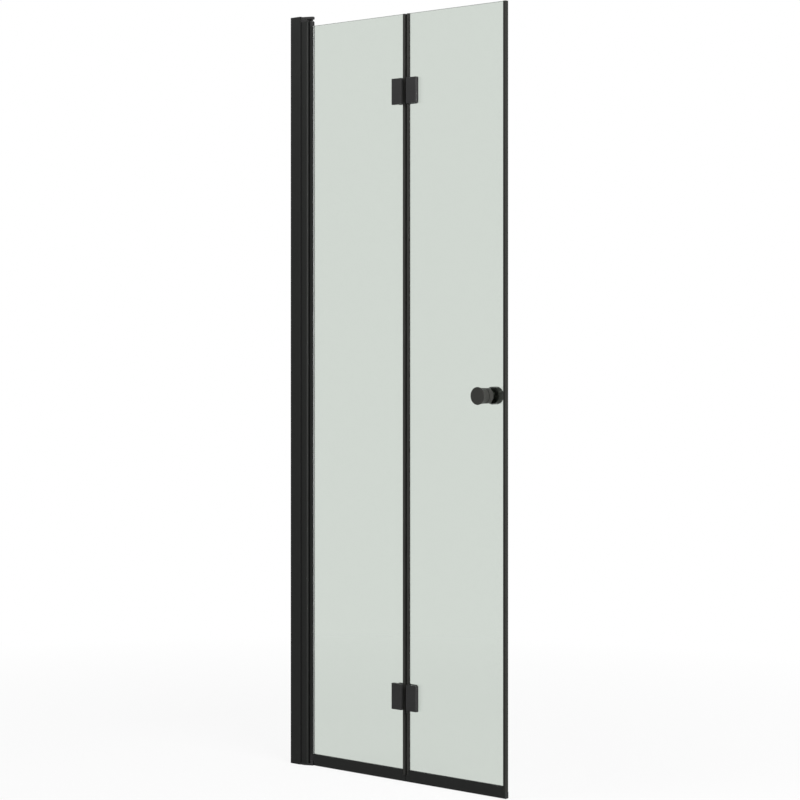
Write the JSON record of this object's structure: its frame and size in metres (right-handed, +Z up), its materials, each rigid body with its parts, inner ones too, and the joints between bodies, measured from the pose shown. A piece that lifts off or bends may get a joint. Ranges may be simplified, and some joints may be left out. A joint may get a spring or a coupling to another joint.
{
  "type": "folding shower door",
  "caption": "Tall clear-glass shower door with matt black fittings: a leaf pivots in a wall profile and a second leaf folds back on plate hinges, with a round knob.",
  "frame": {"origin": "foot of the wall face: on the wall at X = 0, in the middle of the glass thickness, at the level of the shower tray", "axes": "+X from the wall along the closed door, +Y from the pictured side to the far side, +Z up"},
  "size_m": [0.7, 0.0757, 1.9],
  "materials": {
    "black_aluminium": "matt powder coat on extruded aluminium",
    "black_zinc": "satin black coat on die-cast zinc",
    "black_knob": "satin black coat on turned brass",
    "black_plastic": "matt moulded plastic",
    "black_vinyl": "matt extruded vinyl",
    "black_rubber": "soft matt rubber",
    "magnet_rubber": "flexible magnet strip",
    "clear_vinyl": "clear soft vinyl",
    "bearing_plastic": "natural white acetal",
    "stainless_steel": "plain stainless steel",
    "clear_glass": "polished toughened glass with a light green tint"
  },
  "bodies": {
    "wall_frame": {"wall_channel": "black_aluminium", "channel_top_cap": "black_plastic", "adjusting_profile": "black_aluminium", "profile_lock_screws": "stainless_steel", "lock_screw_caps": "black_plastic", "top_pivot_arm": "black_zinc", "bottom_pivot_bracket": "black_zinc", "top_arm_screws": "stainless_steel", "bottom_bracket_screws": "stainless_steel", "top_pivot_pin": "black_zinc", "bottom_pivot_pin": "stainless_steel", "bottom_thrust_washer": "bearing_plastic"},
    "wall_leaf": {"wall_leaf_glass": "clear_glass", "pivot_profile": "black_aluminium", "pivot_gaskets": "clear_vinyl", "top_pivot_block": "black_plastic", "bottom_pivot_block": "black_plastic", "top_pivot_bush": "bearing_plastic", "bottom_pivot_bush": "bearing_plastic", "wall_leaf_fold_strip": "black_vinyl", "wall_leaf_bottom_rail": "black_aluminium", "wall_leaf_sweep_seal": "black_rubber", "upper_hinge_wall_front_plate": "black_zinc", "upper_hinge_wall_rear_plate": "black_zinc", "lower_hinge_wall_front_plate": "black_zinc", "lower_hinge_wall_rear_plate": "black_zinc", "wall_hinge_gaskets": "black_rubber", "wall_hinge_sleeves": "bearing_plastic", "wall_hinge_screws": "stainless_steel", "upper_hinge_pin": "stainless_steel", "lower_hinge_pin": "stainless_steel"},
    "door_leaf": {"door_leaf_glass": "clear_glass", "door_leaf_fold_strip": "black_vinyl", "door_leaf_bottom_rail": "black_aluminium", "door_leaf_sweep_seal": "black_rubber", "rail_end_cap": "black_plastic", "closing_strip": "black_vinyl", "magnet_strip": "magnet_rubber", "upper_hinge_door_front_plate": "black_zinc", "upper_hinge_door_rear_plate": "black_zinc", "lower_hinge_door_front_plate": "black_zinc", "lower_hinge_door_rear_plate": "black_zinc", "door_hinge_gaskets": "black_rubber", "door_hinge_sleeves": "bearing_plastic", "door_hinge_screws": "stainless_steel", "hinge_bushes": "bearing_plastic", "front_knob": "black_knob", "rear_knob": "black_knob", "knob_stud": "stainless_steel", "knob_washers": "black_rubber", "knob_sleeve": "bearing_plastic"}
  },
  "joints": [
    {"name": "wall_pivot", "type": "hinge", "parent": "wall_frame", "child": "wall_leaf", "pos_m": [0.0615, 0, 0], "axis": [0, 0, 1], "range_deg": [-90, 0]},
    {"name": "fold_hinge", "type": "hinge", "parent": "wall_leaf", "child": "door_leaf", "pos_m": [0.385, 0.01, 0], "axis": [0, 0, 1], "range_deg": [0, 170]}
  ]
}
